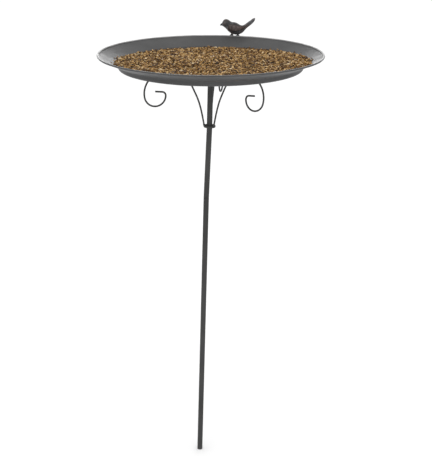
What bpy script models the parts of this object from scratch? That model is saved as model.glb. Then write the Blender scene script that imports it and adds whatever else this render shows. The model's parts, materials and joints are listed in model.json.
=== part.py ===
"""Bird feeder on a pole: a seed dish on three scrolled wire arms, carried by a plug-together pole.

Units are metres, +Z is up, +X is to the right of someone facing the bird, +Y is away from them.
The origin is the centre of the pole at ground level. Everything below z = 0 stands in the soil.
"""
import math

import bmesh
import bpy
from mathutils import Matrix, Vector

# ---------------------------------------------------------------- driving dimensions
GAP = 0.0003                      # clearance between pieces that touch

DISH_RADIUS = 0.160               # outside of the rim bead
DISH_DEPTH = 0.0209               # rim to underside of the base
BRIM_WIDTH = 0.0295               # rim bead to the corner of the flat base
BASE_CORNER = 0.0036              # outside radius of the base corner
RISER_ANGLE = math.radians(80)    # short steep wall above the base
RISER_HEIGHT = 0.0072             # base to the flared brim, outside
BRIM_CORNER = 0.0030              # radius where the riser turns into the brim
SHEET = 0.0008                    # dish sheet thickness
BEAD_RADIUS = 0.00125             # rolled bead round the rim
SCREW_PLAY = 0.0004               # hole in the middle of the dish round the screw

TUBE_RADIUS = 0.0040              # pole and stem tube
TUBE_WALL = 0.0007
LOWER_LENGTH = 0.2060             # lower pole section above ground
LOWER_BURIED = 0.0300             # lower pole section below ground
MIDDLE_LENGTH = 0.2125
UPPER_LENGTH = 0.1045
STEM_RISE = 0.0856                # underside of the collar to underside of the dish
LOWER_LEAN = math.radians(1.38)   # lean of the lower and middle sections towards +X
UPPER_LEAN = math.radians(2.50)   # lean of the upper section
STEM_LEAN = math.radians(1.20)    # lean of the stem; the dish itself is level

JOINER_PLAY = 0.0005              # plug pins in the tubes, on the radius
JOINER_REACH = 0.0180             # how far a pin goes into each tube
FLANGE_THICKNESS = 0.0006         # ring on the pin that the tube ends rest on

COLLAR_WIDTH = 0.00435            # ring that carries the arms, from its bore to its edge
COLLAR_HEIGHT = 0.0029
COLLAR_FLOOR = 0.0013
COLLAR_WALL = 0.0014

WIRE_RADIUS = 0.00125             # scroll arm wire
ARM_AZIMUTHS = {                  # direction of each arm, anticlockwise from +X seen from above
    "scroll_arm_back": math.radians(78.8),
    "scroll_arm_left": math.radians(198.8),
    "scroll_arm_right": math.radians(318.8),
}
ARM_FOOT_INSET = 0.00035          # arm centre line inside the edge of the collar
ARM_FOOT_SLOPE = math.radians(78)
ARM_END_STRAIGHT = 0.0100         # straight tip inside the scroll

SEED_DEPTH = 0.0106               # seed over the floor of the dish, at the middle
SEED_TILT = math.radians(1.7)     # slope of the seed surface
SEED_FALL = math.radians(106)     # direction it slopes down in, towards the back
SCREW_HEAD_RADIUS = 0.0040
SCREW_HEAD_HEIGHT = 0.0022
SCREW_DOME = 0.0010               # rounded part of the head
SCREW_FLAT = 0.0028               # radius of the flat on top of the head
SCREW_LENGTH = 0.0160             # under the head
WASHER_RADIUS = 0.0070
STEEL_WASHER = 0.0010
RUBBER_WASHER = 0.0015
SEAT_RADIUS = 0.0085
SEAT_THICKNESS = 0.0010
INSERT_LENGTH = 0.0140
INSERT_WALL = 0.00036

BIRD_AZIMUTH = math.radians(77.5)
BIRD_FEET = (0.0042, -0.0060)     # front and rear foot along the bird
BIRD_LEG_SPREAD = 0.0016
BIRD_LEG_RADIUS = 0.0011
BIRD_LEG_TOP = 0.0070             # inside the body
BIRD_FOOT_RADIUS = 0.0021
BIRD_FOOT_HEIGHT = 0.0009
TAB_LENGTH = 0.0180
TAB_WIDTH = 0.0066
TAB_THICKNESS = 0.0012
TAB_DROP = 0.0014                 # top of the tab below the rim
STUD_RADIUS = 0.0010
STUD_LENGTH = 0.0042
NUT_RADIUS = 0.0024               # across corners
NUT_HEIGHT = 0.0016

SLEEVE_WALL = 0.0022
SLEEVE_LENGTH = 0.0160
BAR_LENGTH = 0.0960
BAR_WIDTH = 0.0120
BAR_THICKNESS = 0.0030
BAR_DEPTH = 0.0060                # top of the foot bar below ground
PRONG_RADIUS = 0.0025
PRONG_INSET = 0.0080              # prong to the end of the foot bar
PRONG_LENGTH = 0.1050
POINT_LENGTH = 0.1250             # ground point below the lower tube
TIP_LENGTH = 0.0180
TIP_RADIUS = 0.0007               # blunt end of a prong
TIP_BLUNTING = 0.0015
CUTTER_CHAMFER = 0.0002

ROUND = 24                        # sides of tubes, washers and pins
DISH_SIDES = 60
CORNER_STEPS = 3
BEAD_STEPS = 8

# sizes that follow from the ones above
TUBE_BORE = TUBE_RADIUS - TUBE_WALL
JOINER_RADIUS = TUBE_BORE - JOINER_PLAY
JOINT_STACK = FLANGE_THICKNESS + 2 * GAP
COLLAR_BORE = TUBE_RADIUS + GAP
COLLAR_RADIUS = COLLAR_BORE + COLLAR_WIDTH
ARM_FOOT_RADIUS = COLLAR_RADIUS - ARM_FOOT_INSET
SLEEVE_RADIUS = COLLAR_BORE + SLEEVE_WALL
INSERT_RADIUS = TUBE_BORE - GAP
INSERT_BORE = INSERT_RADIUS - INSERT_WALL
SCREW_RADIUS = INSERT_BORE - GAP - SCREW_LENGTH * math.tan(STEM_LEAN)
SCREW_HOLE_RADIUS = SCREW_RADIUS + SCREW_PLAY
BEAD_CENTRE = Vector((DISH_RADIUS - BEAD_RADIUS, -BEAD_RADIUS))
FLOOR_Z = SHEET - DISH_DEPTH      # inside floor of the dish, from the rim plane
SEED_LEVEL = -FLOOR_Z - SEED_DEPTH
BASE_RADIUS = DISH_RADIUS - BRIM_WIDTH
KNEE = Vector((BASE_RADIUS + RISER_HEIGHT / math.tan(RISER_ANGLE), RISER_HEIGHT - DISH_DEPTH))
KNEE_TO_BEAD = BEAD_CENTRE - KNEE
BRIM_ANGLE = math.atan2(KNEE_TO_BEAD.y, KNEE_TO_BEAD.x) - math.asin(SHEET / KNEE_TO_BEAD.length)
BIRD_OFFSET = GAP + TAB_WIDTH / 2  # middle of the tab, outside the rim bead
PRONG_SPACING = BAR_LENGTH / 2 - PRONG_INSET


# ---------------------------------------------------------------- helpers
def clear_scene():
    for item in list(bpy.data.objects):
        bpy.data.objects.remove(item, do_unlink=True)


def finish(name, colour, roughness, metallic):
    material = bpy.data.materials.new(name)
    material.use_nodes = True
    shader = material.node_tree.nodes["Principled BSDF"]
    shader.inputs["Base Color"].default_value = (*colour, 1.0)
    shader.inputs["Roughness"].default_value = roughness
    shader.inputs["Metallic"].default_value = metallic
    material.diffuse_color = (*colour, 1.0)
    return material


def powder_coat(name):
    return finish(name, (0.085, 0.087, 0.090), 0.48, 0.25)


def zinc(name):
    return finish(name, (0.52, 0.53, 0.54), 0.35, 1.0)


def empty(name, parent, location=(0, 0, 0), turn_y=0.0, turn_z=0.0):
    frame = bpy.data.objects.new(name, None)
    bpy.context.scene.collection.objects.link(frame)
    frame.empty_display_size = 0.02
    frame.parent = parent
    frame.location = location
    frame.rotation_euler = (0.0, turn_y, turn_z)
    return frame


def add_object(name, data, material, parent, location=(0, 0, 0)):
    piece = bpy.data.objects.new(name, data)
    bpy.context.scene.collection.objects.link(piece)
    data.materials.append(material)
    piece.parent = parent
    piece.location = location
    return piece


def to_mesh(name, bm, sharp_angle=math.radians(35)):
    bmesh.ops.recalc_face_normals(bm, faces=bm.faces)
    mesh = bpy.data.meshes.new(name)
    bm.to_mesh(mesh)
    bm.free()
    mesh.shade_smooth()
    mesh.set_sharp_from_angle(angle=sharp_angle)
    return mesh


def stack_rings(bm, rings, closed):
    """Join rings of vertices with faces; a ring of one vertex is a point on the axis."""
    pairs = list(zip(rings, rings[1:]))
    if closed:
        pairs.append((rings[-1], rings[0]))
    for first, second in pairs:
        count = max(len(first), len(second))
        for i in range(count):
            j = (i + 1) % count
            corners = [first[i % len(first)], first[j % len(first)]]
            corners += [second[j % len(second)], second[i % len(second)]]
            distinct = list(dict.fromkeys(corners))
            if len(distinct) > 2:
                bm.faces.new(distinct)


def turned_mesh(name, outline, sides=ROUND, closed=True):
    """Solid of revolution about Z from an outline of (radius, height) points."""
    bm = bmesh.new()
    rings = []
    for radius, height in outline:
        if radius == 0.0:
            rings.append([bm.verts.new((0.0, 0.0, height))])
            continue
        angles = [math.tau * i / sides for i in range(sides)]
        rings.append([bm.verts.new((radius * math.cos(a), radius * math.sin(a), height)) for a in angles])
    stack_rings(bm, rings, closed)
    return to_mesh(name, bm)


def ring_outline(bore, radius, bottom, top):
    return [(bore, bottom), (radius, bottom), (radius, top), (bore, top)]


def rod_outline(radius, bottom, top, chamfer):
    return [(0.0, bottom), (radius - chamfer, bottom), (radius, bottom + chamfer),
            (radius, top - chamfer), (radius - chamfer, top), (0.0, top)]


def meet(point_a, angle_a, point_b, angle_b):
    """Crossing point of two lines in the (radius, height) plane."""
    along_a = Vector((math.cos(angle_a), math.sin(angle_a)))
    along_b = Vector((math.cos(angle_b), math.sin(angle_b)))
    between = point_b - point_a
    reach = between.cross(along_b) / along_a.cross(along_b)
    return point_a + along_a * reach


def rounded_corner(before, corner, after, radius, steps=CORNER_STEPS):
    """Points of a tangent arc that replaces one corner of an outline."""
    back = (before - corner).normalized()
    ahead = (after - corner).normalized()
    half = back.angle(ahead) / 2
    setback = radius / math.tan(half)
    centre = corner + (back + ahead).normalized() * (radius / math.sin(half))
    start = corner + back * setback - centre
    sweep = start.angle_signed(corner + ahead * setback - centre)
    return [centre + Matrix.Rotation(-sweep * i / steps, 2) @ start for i in range(steps + 1)]


# ---------------------------------------------------------------- dish
def brim_height(radius):
    """Height of the brim's inside face, which runs into the middle of the rim bead."""
    return BEAD_CENTRE.y - (BEAD_CENTRE.x - radius) * math.tan(BRIM_ANGLE)


def dish_outline():
    thickness = SHEET
    inside_brim = BEAD_CENTRE
    outside_brim = BEAD_CENTRE - Vector((-math.sin(BRIM_ANGLE), math.cos(BRIM_ANGLE))) * thickness
    outside_base = Vector((BASE_RADIUS, -DISH_DEPTH))
    riser_shift = Vector((-math.sin(RISER_ANGLE), math.cos(RISER_ANGLE))) * thickness
    hole_outside = Vector((SCREW_HOLE_RADIUS, -DISH_DEPTH))
    hole_inside = Vector((SCREW_HOLE_RADIUS, FLOOR_Z))
    outside_knee = KNEE
    inside_base = meet(hole_inside, 0.0, outside_base + riser_shift, RISER_ANGLE)
    inside_knee = meet(inside_base, RISER_ANGLE, inside_brim, BRIM_ANGLE)

    points = [hole_outside]
    points += rounded_corner(hole_outside, outside_base, outside_knee, BASE_CORNER)
    points += rounded_corner(outside_base, outside_knee, outside_brim, BRIM_CORNER)
    bite = math.asin(thickness / BEAD_RADIUS)
    bead_start = math.pi + BRIM_ANGLE + bite
    bead_end = 3 * math.pi + BRIM_ANGLE
    for i in range(BEAD_STEPS + 1):
        angle = bead_start + (bead_end - bead_start) * i / BEAD_STEPS
        points.append(BEAD_CENTRE + Vector((math.cos(angle), math.sin(angle))) * BEAD_RADIUS)
    points += rounded_corner(inside_brim, inside_knee, inside_base, BRIM_CORNER + thickness)
    points += rounded_corner(inside_knee, inside_base, hole_inside, BASE_CORNER - thickness)
    points.append(hole_inside)
    return points


def make_dish(head):
    mesh = turned_mesh("dish", dish_outline(), DISH_SIDES)
    add_object("dish", mesh, powder_coat("dish_coat"), head)


def make_seed_bed(head):
    """One solid for the loose seed: it follows the dish, and its top slopes down to the back."""
    wall_gap = 2 * GAP
    slope = math.tan(BRIM_ANGLE)
    fall = math.tan(SEED_TILT)
    head_top = FLOOR_Z + 3 * GAP + RUBBER_WASHER + STEEL_WASHER + SCREW_HEAD_HEIGHT
    washers_top = head_top - SCREW_HEAD_HEIGHT
    corner = BASE_CORNER
    foot_radius = BASE_RADIUS - SHEET - wall_gap
    knee_height = brim_height(foot_radius) + wall_gap

    def edge(angle):
        """Radius where the sloping seed surface meets the brim in one direction."""
        free = BEAD_CENTRE.x + (BEAD_RADIUS - wall_gap - SEED_LEVEL) / slope
        return max(free / (1 + fall * math.cos(angle - SEED_FALL) / slope), foot_radius)

    downhill = Vector((math.cos(SEED_FALL), math.sin(SEED_FALL))) * fall

    def surface(place):
        return -SEED_LEVEL - downhill.dot(place)

    bm = bmesh.new()
    rings = [[bm.verts.new((0.0, 0.0, head_top + GAP))]]
    directions = [Vector((math.cos(a), math.sin(a))) for a in
                  (math.tau * i / DISH_SIDES for i in range(DISH_SIDES))]
    turned = [(SCREW_HEAD_RADIUS + GAP, head_top + GAP), (SCREW_HEAD_RADIUS + GAP, washers_top + GAP),
              (WASHER_RADIUS + GAP, washers_top + GAP), (WASHER_RADIUS + GAP, FLOOR_Z + GAP),
              (foot_radius - corner, FLOOR_Z + GAP), (foot_radius, FLOOR_Z + GAP + corner)]
    for radius, height in turned:
        rings.append([bm.verts.new((*(d * radius), height)) for d in directions])
    shoulder = []
    rim = []
    for direction in directions:
        reach = edge(math.atan2(direction.y, direction.x))
        level = surface(direction * reach)
        shoulder.append(bm.verts.new((*(direction * foot_radius), min(knee_height, level - GAP))))
        rim.append(bm.verts.new((*(direction * (reach + GAP)), level)))
    rings += [shoulder, rim]
    for share in (0.8, 0.5, 0.2):
        flats = [d * BASE_RADIUS * share for d in directions]
        rings.append([bm.verts.new((*flat, surface(flat))) for flat in flats])
    rings.append([bm.verts.new((0.0, 0.0, -SEED_LEVEL))])
    stack_rings(bm, rings, closed=False)
    mesh = to_mesh("seed_bed", bm)
    add_object("seed_bed", mesh, finish("seed_mix", (0.30, 0.20, 0.10), 0.8, 0.0), head)


def make_dish_fixings(head, stem, stem_top):
    """Screw, washers and threaded insert that clamp the dish to the stem."""
    rubber_base = FLOOR_Z + GAP
    rubber_top = rubber_base + RUBBER_WASHER
    steel_base = rubber_top + GAP
    steel_top = steel_base + STEEL_WASHER
    head_base = steel_top + GAP
    bore = SCREW_RADIUS + GAP
    rubber = turned_mesh("rubber_washer", ring_outline(bore, WASHER_RADIUS, rubber_base, rubber_top))
    add_object("rubber_washer", rubber, finish("washer_rubber", (0.03, 0.03, 0.03), 0.8, 0.0), head)
    steel = turned_mesh("steel_washer", ring_outline(bore, WASHER_RADIUS, steel_base, steel_top))
    add_object("steel_washer", steel, zinc("washer_zinc"), head)

    outline = [(0.0, head_base - SCREW_LENGTH), (SCREW_RADIUS, head_base - SCREW_LENGTH),
               (SCREW_RADIUS, head_base), (SCREW_HEAD_RADIUS, head_base),
               (SCREW_HEAD_RADIUS, head_base + SCREW_HEAD_HEIGHT - SCREW_DOME),
               (SCREW_FLAT, head_base + SCREW_HEAD_HEIGHT),
               (0.0, head_base + SCREW_HEAD_HEIGHT)]
    screw = turned_mesh("centre_screw", outline, closed=False)
    add_object("centre_screw", screw, zinc("screw_zinc"), head)

    seat_outline = ring_outline(bore, SEAT_RADIUS, -SEAT_THICKNESS - GAP - DISH_DEPTH, -GAP - DISH_DEPTH)
    seat = turned_mesh("seat_washer", seat_outline)
    add_object("seat_washer", seat, powder_coat("seat_coat"), head)
    insert_outline = ring_outline(INSERT_BORE, INSERT_RADIUS, stem_top - INSERT_LENGTH, stem_top)
    insert = turned_mesh("stem_insert", insert_outline)
    add_object("stem_insert", insert, zinc("insert_zinc"), stem)


# ---------------------------------------------------------------- scroll arms
def arm_bends(rise):
    """Straight runs and clockwise bends of the wire, foot first: (length or radius, turn)."""
    bends = [(0.160, math.radians(7)), (0.090, math.radians(7)), (0.014, 0.0),
             (0.042, math.radians(64)), (0.0037, 0.0)]
    climbed = 0.0
    heading = ARM_FOOT_SLOPE
    for size, turn in bends:
        if turn:
            climbed += size * (math.cos(heading - turn) - math.cos(heading))
            heading -= turn
        else:
            climbed += size * math.sin(heading)
    first_straight = (rise - climbed) / math.sin(ARM_FOOT_SLOPE)
    scroll = [(0.0288, math.radians(103)), (0.0166, math.radians(77)), (0.0144, math.radians(90)),
              (0.0057, math.radians(84)), (ARM_END_STRAIGHT, 0.0)]
    return [(first_straight, 0.0)] + bends + scroll


def wire_path(start, heading, bends, step=math.radians(11)):
    """Points along a bent wire in its own plane, as (out, up)."""
    points = [Vector(start)]
    for size, turn in bends:
        if not turn:
            points.append(points[-1] + Vector((math.cos(heading), math.sin(heading))) * size)
            continue
        to_centre = Vector((math.sin(heading), -math.cos(heading))) * size
        centre = points[-1] + to_centre
        count = max(2, round(turn / step))
        for i in range(1, count + 1):
            angle = turn * i / count
            points.append(centre - Matrix.Rotation(-angle, 2) @ to_centre)
        heading -= turn
    return points


def make_arms(head):
    foot = STEM_RISE - COLLAR_HEIGHT - 3 * GAP          # below the underside of the dish
    rise = foot - GAP - WIRE_RADIUS
    start = (ARM_FOOT_RADIUS, -DISH_DEPTH - foot)
    path = wire_path(start, ARM_FOOT_SLOPE, arm_bends(rise))
    for name, azimuth in ARM_AZIMUTHS.items():
        curve = bpy.data.curves.new(name, "CURVE")
        curve.dimensions = "3D"
        curve.bevel_depth = WIRE_RADIUS
        curve.bevel_resolution = 2
        curve.use_fill_caps = True
        spline = curve.splines.new("POLY")
        spline.points.add(len(path) - 1)
        for point, (out, up) in zip(spline.points, path):
            drift = (up + DISH_DEPTH) * math.tan(STEM_LEAN)
            point.co = (out * math.cos(azimuth) + drift, out * math.sin(azimuth), up, 1.0)
        add_object(name, curve, powder_coat(name + "_coat"), head)


def make_collar(stem):
    inner = COLLAR_RADIUS - COLLAR_WALL
    soft = COLLAR_WALL * 0.35
    outline = [(COLLAR_BORE, 0.0), (COLLAR_RADIUS - soft, 0.0), (COLLAR_RADIUS, soft),
               (COLLAR_RADIUS, COLLAR_HEIGHT - soft), (COLLAR_RADIUS - soft, COLLAR_HEIGHT),
               (inner, COLLAR_HEIGHT), (inner, COLLAR_FLOOR), (COLLAR_BORE, COLLAR_FLOOR)]
    add_object("arm_collar", turned_mesh("arm_collar", outline, 32), powder_coat("collar_coat"), stem)


# ---------------------------------------------------------------- pole
def make_tube(name, frame, bottom, top):
    outline = ring_outline(TUBE_BORE, TUBE_RADIUS, bottom, top)
    add_object(name, turned_mesh(name, outline), powder_coat(name + "_coat"), frame)


def make_joiner(name, frame):
    """Plug pin whose flange lies between two tube ends; its frame starts at the upper tube end."""
    chamfer = JOINER_RADIUS * 0.25
    flange_top = -GAP
    flange_base = flange_top - FLANGE_THICKNESS
    top = JOINER_REACH
    bottom = -JOINT_STACK - JOINER_REACH
    outline = [(0.0, bottom), (JOINER_RADIUS - chamfer, bottom), (JOINER_RADIUS, bottom + chamfer),
               (JOINER_RADIUS, flange_base), (TUBE_RADIUS, flange_base), (TUBE_RADIUS, flange_top),
               (JOINER_RADIUS, flange_top), (JOINER_RADIUS, top - chamfer),
               (JOINER_RADIUS - chamfer, top), (0.0, top)]
    add_object(name, turned_mesh(name, outline, closed=False), powder_coat(name + "_coat"), frame)


def make_ground_fork(lower):
    """Sleeve, foot bar, middle point and two prongs that hold the pole in the soil."""
    tube_end = -LOWER_BURIED
    plug = JOINER_REACH
    shoulder = tube_end - GAP
    bottom = shoulder - POINT_LENGTH
    outline = [(0.0, bottom), (TIP_RADIUS, bottom + TIP_BLUNTING),
               (TUBE_RADIUS, bottom + TIP_LENGTH), (TUBE_RADIUS, shoulder),
               (JOINER_RADIUS, shoulder), (JOINER_RADIUS, tube_end + plug), (0.0, tube_end + plug)]
    point = turned_mesh("ground_point", outline, closed=False)
    add_object("ground_point", point, zinc("point_zinc"), lower)

    bar_top = -BAR_DEPTH
    bar_base = bar_top - BAR_THICKNESS
    sleeve_top = bar_base - GAP
    sleeve_outline = ring_outline(COLLAR_BORE, SLEEVE_RADIUS, sleeve_top - SLEEVE_LENGTH, sleeve_top)
    sleeve = turned_mesh("fork_sleeve", sleeve_outline)
    add_object("fork_sleeve", sleeve, powder_coat("sleeve_coat"), lower)

    bm = bmesh.new()
    size = (BAR_LENGTH, BAR_WIDTH, BAR_THICKNESS)
    bmesh.ops.create_cube(bm, size=1.0, matrix=Matrix.Diagonal((*size, 1.0)))
    bar = add_object("foot_bar", to_mesh("foot_bar", bm), powder_coat("bar_coat"), lower,
                     (0.0, 0.0, (bar_top + bar_base) / 2))
    cutter_outline = rod_outline(COLLAR_BORE, -BAR_THICKNESS, BAR_THICKNESS, CUTTER_CHAMFER)
    cutter_mesh = turned_mesh("bar_hole", cutter_outline, closed=False)
    cutter = add_object("bar_hole", cutter_mesh, zinc("cutter"), lower, bar.location)
    cutter.hide_render = True
    cutter.display_type = "WIRE"
    hole = bar.modifiers.new("pole_hole", "BOOLEAN")
    hole.operation = "DIFFERENCE"
    hole.solver = "EXACT"
    hole.object = cutter

    for side, name in ((-1, "fork_prong_left"), (1, "fork_prong_right")):
        top = bar_base - GAP
        tip = top - PRONG_LENGTH
        outline = [(0.0, tip), (TIP_RADIUS, tip + TIP_BLUNTING), (PRONG_RADIUS, tip + TIP_LENGTH),
                   (PRONG_RADIUS, top), (0.0, top)]
        prong = turned_mesh(name, outline, 16, closed=False)
        add_object(name, prong, powder_coat(name + "_coat"), lower, (side * PRONG_SPACING, 0.0, 0.0))


# ---------------------------------------------------------------- bird
BIRD_SECTIONS = [                 # along the bird, underside, top, half width, in millimetres
    (22.8, 14.9, 15.7, 0.4),
    (19.2, 14.6, 19.4, 2.6),
    (17.6, 13.8, 22.8, 4.4),
    (14.2, 11.4, 25.0, 5.7),
    (10.0, 7.4, 24.3, 6.3),
    (4.0, 4.0, 20.6, 7.8),
    (-1.0, 3.0, 20.6, 8.3),
    (-6.2, 3.2, 18.2, 7.7),
    (-10.8, 4.8, 15.8, 6.0),
    (-14.6, 8.4, 16.3, 4.2),
    (-18.4, 13.4, 18.9, 3.1),
    (-24.2, 16.6, 23.0, 3.0),
    (-29.0, 20.4, 26.6, 3.4),
    (-32.0, 24.2, 28.2, 3.0),
]


def lofted_body(bm, sections, sides=12):
    rings = []
    for along, low, high, half_width in sections:
        ring = []
        for i in range(sides):
            angle = math.tau * i / sides
            across = half_width * math.cos(angle)
            up = (low + high) / 2 + (high - low) / 2 * math.sin(angle)
            ring.append(bm.verts.new(Vector((along, across, up)) / 1000))
        rings.append(ring)
    stack_rings(bm, rings, closed=False)
    bm.faces.new(rings[0])
    bm.faces.new(rings[-1])


def make_bird(perch):
    """Bird with legs, feet and two studs; its frame has +X ahead and z = 0 under the feet."""
    bm = bmesh.new()
    lofted_body(bm, BIRD_SECTIONS)
    bird = add_object("bird", to_mesh("bird", bm), finish("bird_cast", (0.10, 0.09, 0.085), 0.55, 0.3), perch)
    outline = [(0.0, -STUD_LENGTH), (STUD_RADIUS, -STUD_LENGTH), (STUD_RADIUS, 0.0),
               (BIRD_FOOT_RADIUS, 0.0), (BIRD_FOOT_RADIUS, BIRD_FOOT_HEIGHT),
               (BIRD_LEG_RADIUS, BIRD_FOOT_HEIGHT + BIRD_FOOT_RADIUS - BIRD_LEG_RADIUS),
               (BIRD_LEG_RADIUS, BIRD_LEG_TOP), (0.0, BIRD_LEG_TOP)]
    for index, along in enumerate(BIRD_FEET):
        name = ("front", "rear")[index]
        side = (-1, 1)[index] * BIRD_LEG_SPREAD
        leg_mesh = turned_mesh("bird_leg_" + name, outline, 12, closed=False)
        leg = add_object("bird_leg_" + name, leg_mesh, zinc("leg_" + name), perch, (along, side, 0.0))
        leg.hide_render = True
        leg.display_type = "WIRE"
        joined = bird.modifiers.new("leg_" + name, "BOOLEAN")
        joined.operation = "UNION"
        joined.solver = "EXACT"
        joined.object = leg

        nut_top = -TAB_THICKNESS - 2 * GAP
        nut_outline = ring_outline(STUD_RADIUS + GAP, NUT_RADIUS, nut_top - NUT_HEIGHT, nut_top)
        nut = turned_mesh("bird_nut_" + name, nut_outline, 6)
        add_object("bird_nut_" + name, nut, zinc("nut_" + name), perch, (along, side, 0.0))


def make_bird_tab(perch):
    """Small plate welded behind the rim bead; the bird's studs go through its two holes."""
    bm = bmesh.new()
    size = (TAB_LENGTH, TAB_WIDTH, TAB_THICKNESS)
    bmesh.ops.create_cube(bm, size=1.0, matrix=Matrix.Diagonal((*size, 1.0)))
    tab = add_object("bird_tab", to_mesh("bird_tab", bm), powder_coat("tab_coat"), perch,
                     (0.0, 0.0, -GAP - TAB_THICKNESS / 2))
    for index, along in enumerate(BIRD_FEET):
        side = (-1, 1)[index] * BIRD_LEG_SPREAD
        name = "tab_hole_" + ("front", "rear")[index]
        outline = rod_outline(STUD_RADIUS + GAP, -TAB_THICKNESS * 2, TAB_THICKNESS * 2, CUTTER_CHAMFER)
        cutter_mesh = turned_mesh(name, outline, 12, closed=False)
        cutter = add_object(name, cutter_mesh, zinc(name), perch, (along, side, tab.location.z))
        cutter.hide_render = True
        cutter.display_type = "WIRE"
        hole = tab.modifiers.new(name, "BOOLEAN")
        hole.operation = "DIFFERENCE"
        hole.solver = "EXACT"
        hole.object = cutter


# ---------------------------------------------------------------- assembly
def build():
    clear_scene()
    middle_base = LOWER_LENGTH + JOINT_STACK
    middle_top = middle_base + MIDDLE_LENGTH
    seat_gap = 2 * GAP + SEAT_THICKNESS
    stem_top = (STEM_RISE - seat_gap) / math.cos(STEM_LEAN) - GAP

    lower = empty("lower_axis", None, (0, 0, 0), LOWER_LEAN)
    make_ground_fork(lower)
    make_tube("pole_lower", lower, -LOWER_BURIED, LOWER_LENGTH)
    middle = empty("middle_axis", lower, (0, 0, middle_base))
    make_joiner("lower_joiner", middle)
    make_tube("pole_middle", middle, 0.0, MIDDLE_LENGTH)
    upper = empty("upper_axis", lower, (0, 0, middle_top + JOINT_STACK), UPPER_LEAN - LOWER_LEAN)
    make_joiner("upper_joiner", upper)
    make_tube("pole_upper", upper, 0.0, UPPER_LENGTH)
    stem = empty("stem_axis", upper, (0, 0, UPPER_LENGTH + JOINT_STACK), STEM_LEAN - UPPER_LEAN)
    make_joiner("top_joiner", stem)
    make_tube("stem_tube", stem, 0.0, stem_top)
    make_collar(stem)

    rim_above_collar = STEM_RISE + DISH_DEPTH
    seat_point = (0, 0, STEM_RISE / math.cos(STEM_LEAN))
    level = empty("head_level", stem, seat_point, -STEM_LEAN)
    head = empty("dish_axis", level, (0, 0, rim_above_collar - STEM_RISE))
    make_dish(head)
    make_seed_bed(head)
    make_dish_fixings(head, stem, stem_top)
    make_arms(head)

    perch_radius = DISH_RADIUS + BIRD_OFFSET
    perch_place = (perch_radius * math.cos(BIRD_AZIMUTH), perch_radius * math.sin(BIRD_AZIMUTH),
                   GAP - TAB_DROP)
    perch = empty("bird_perch", head, perch_place, 0.0, BIRD_AZIMUTH + math.pi / 2)
    make_bird(perch)
    make_bird_tab(perch)


build()
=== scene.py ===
"""Looks of the bird feeder on a pole: finer dish, wires, seed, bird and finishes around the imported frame."""

import json
import math

import bpy
import numpy as np
from mathutils import Matrix, Vector


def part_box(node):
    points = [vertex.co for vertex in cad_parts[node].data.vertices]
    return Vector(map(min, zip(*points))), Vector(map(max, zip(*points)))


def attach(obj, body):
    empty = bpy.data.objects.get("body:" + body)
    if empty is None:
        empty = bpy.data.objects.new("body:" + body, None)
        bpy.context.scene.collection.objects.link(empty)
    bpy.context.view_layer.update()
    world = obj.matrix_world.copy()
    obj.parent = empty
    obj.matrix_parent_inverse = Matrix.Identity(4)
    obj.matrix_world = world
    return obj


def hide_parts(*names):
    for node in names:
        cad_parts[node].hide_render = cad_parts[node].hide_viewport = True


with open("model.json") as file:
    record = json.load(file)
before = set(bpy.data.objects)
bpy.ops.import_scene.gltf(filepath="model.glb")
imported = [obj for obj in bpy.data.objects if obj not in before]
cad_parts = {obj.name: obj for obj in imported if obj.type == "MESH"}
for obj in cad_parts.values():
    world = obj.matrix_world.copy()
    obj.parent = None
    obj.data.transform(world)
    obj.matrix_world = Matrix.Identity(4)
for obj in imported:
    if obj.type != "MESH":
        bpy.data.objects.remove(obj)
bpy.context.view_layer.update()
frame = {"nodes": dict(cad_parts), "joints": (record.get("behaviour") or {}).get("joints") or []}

# ---------------------------------------------------------------- sizes, in metres, as the solids have them
GAP = 0.0003
SHEET = 0.0008
BEAD_RADIUS = 0.00125
BRIM_WIDTH = 0.0295
RISER_ANGLE = math.radians(80)
RISER_HEIGHT = 0.0072
BASE_CORNER = 0.0036
BRIM_CORNER = 0.0030
SCREW_HOLE_RADIUS = 0.0024
STEM_RISE = 0.0856
COLLAR_HEIGHT = 0.0029
COLLAR_FLOOR = 0.0013
COLLAR_WALL = 0.0014
ARM_FOOT_INSET = 0.00035
ARM_FOOT_SLOPE = math.radians(78)
WIRE_RADIUS = 0.00125
TUBE_RADIUS = 0.0040
SEED_DEPTH = 0.0106
SEED_TILT = math.radians(1.7)
SEED_FALL = math.radians(106)
MM = 0.001

dish_low, dish_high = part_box("dish")
DISH_RADIUS = (dish_high.x - dish_low.x) / 2
DISH_DEPTH = dish_high.z - dish_low.z
RIM = Vector(((dish_low.x + dish_high.x) / 2, (dish_low.y + dish_high.y) / 2, dish_high.z))
joints = {j["name"]: j for j in frame["joints"]}
STEM_FOOT = Vector(joints["top_swivel"]["pos_m"])
STEM_AXIS = Vector(joints["top_swivel"]["axis"]).normalized()
STEM_TURN = Vector((0, 0, 1)).rotation_difference(STEM_AXIS).to_matrix().to_4x4()
collar_low, collar_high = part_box("arm_collar")
COLLAR_RADIUS = (collar_high.y - collar_low.y) / 2
ARM_AZIMUTHS = {"back": math.radians(78.8), "left": math.radians(198.8), "right": math.radians(318.8)}

rng = np.random.default_rng(11)


# ---------------------------------------------------------------- finishes
# light grey of the painted highlight along the top of the dish's bead
PAINTED_HIGHLIGHT_GREY = (0.31, 0.31, 0.31)


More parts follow.
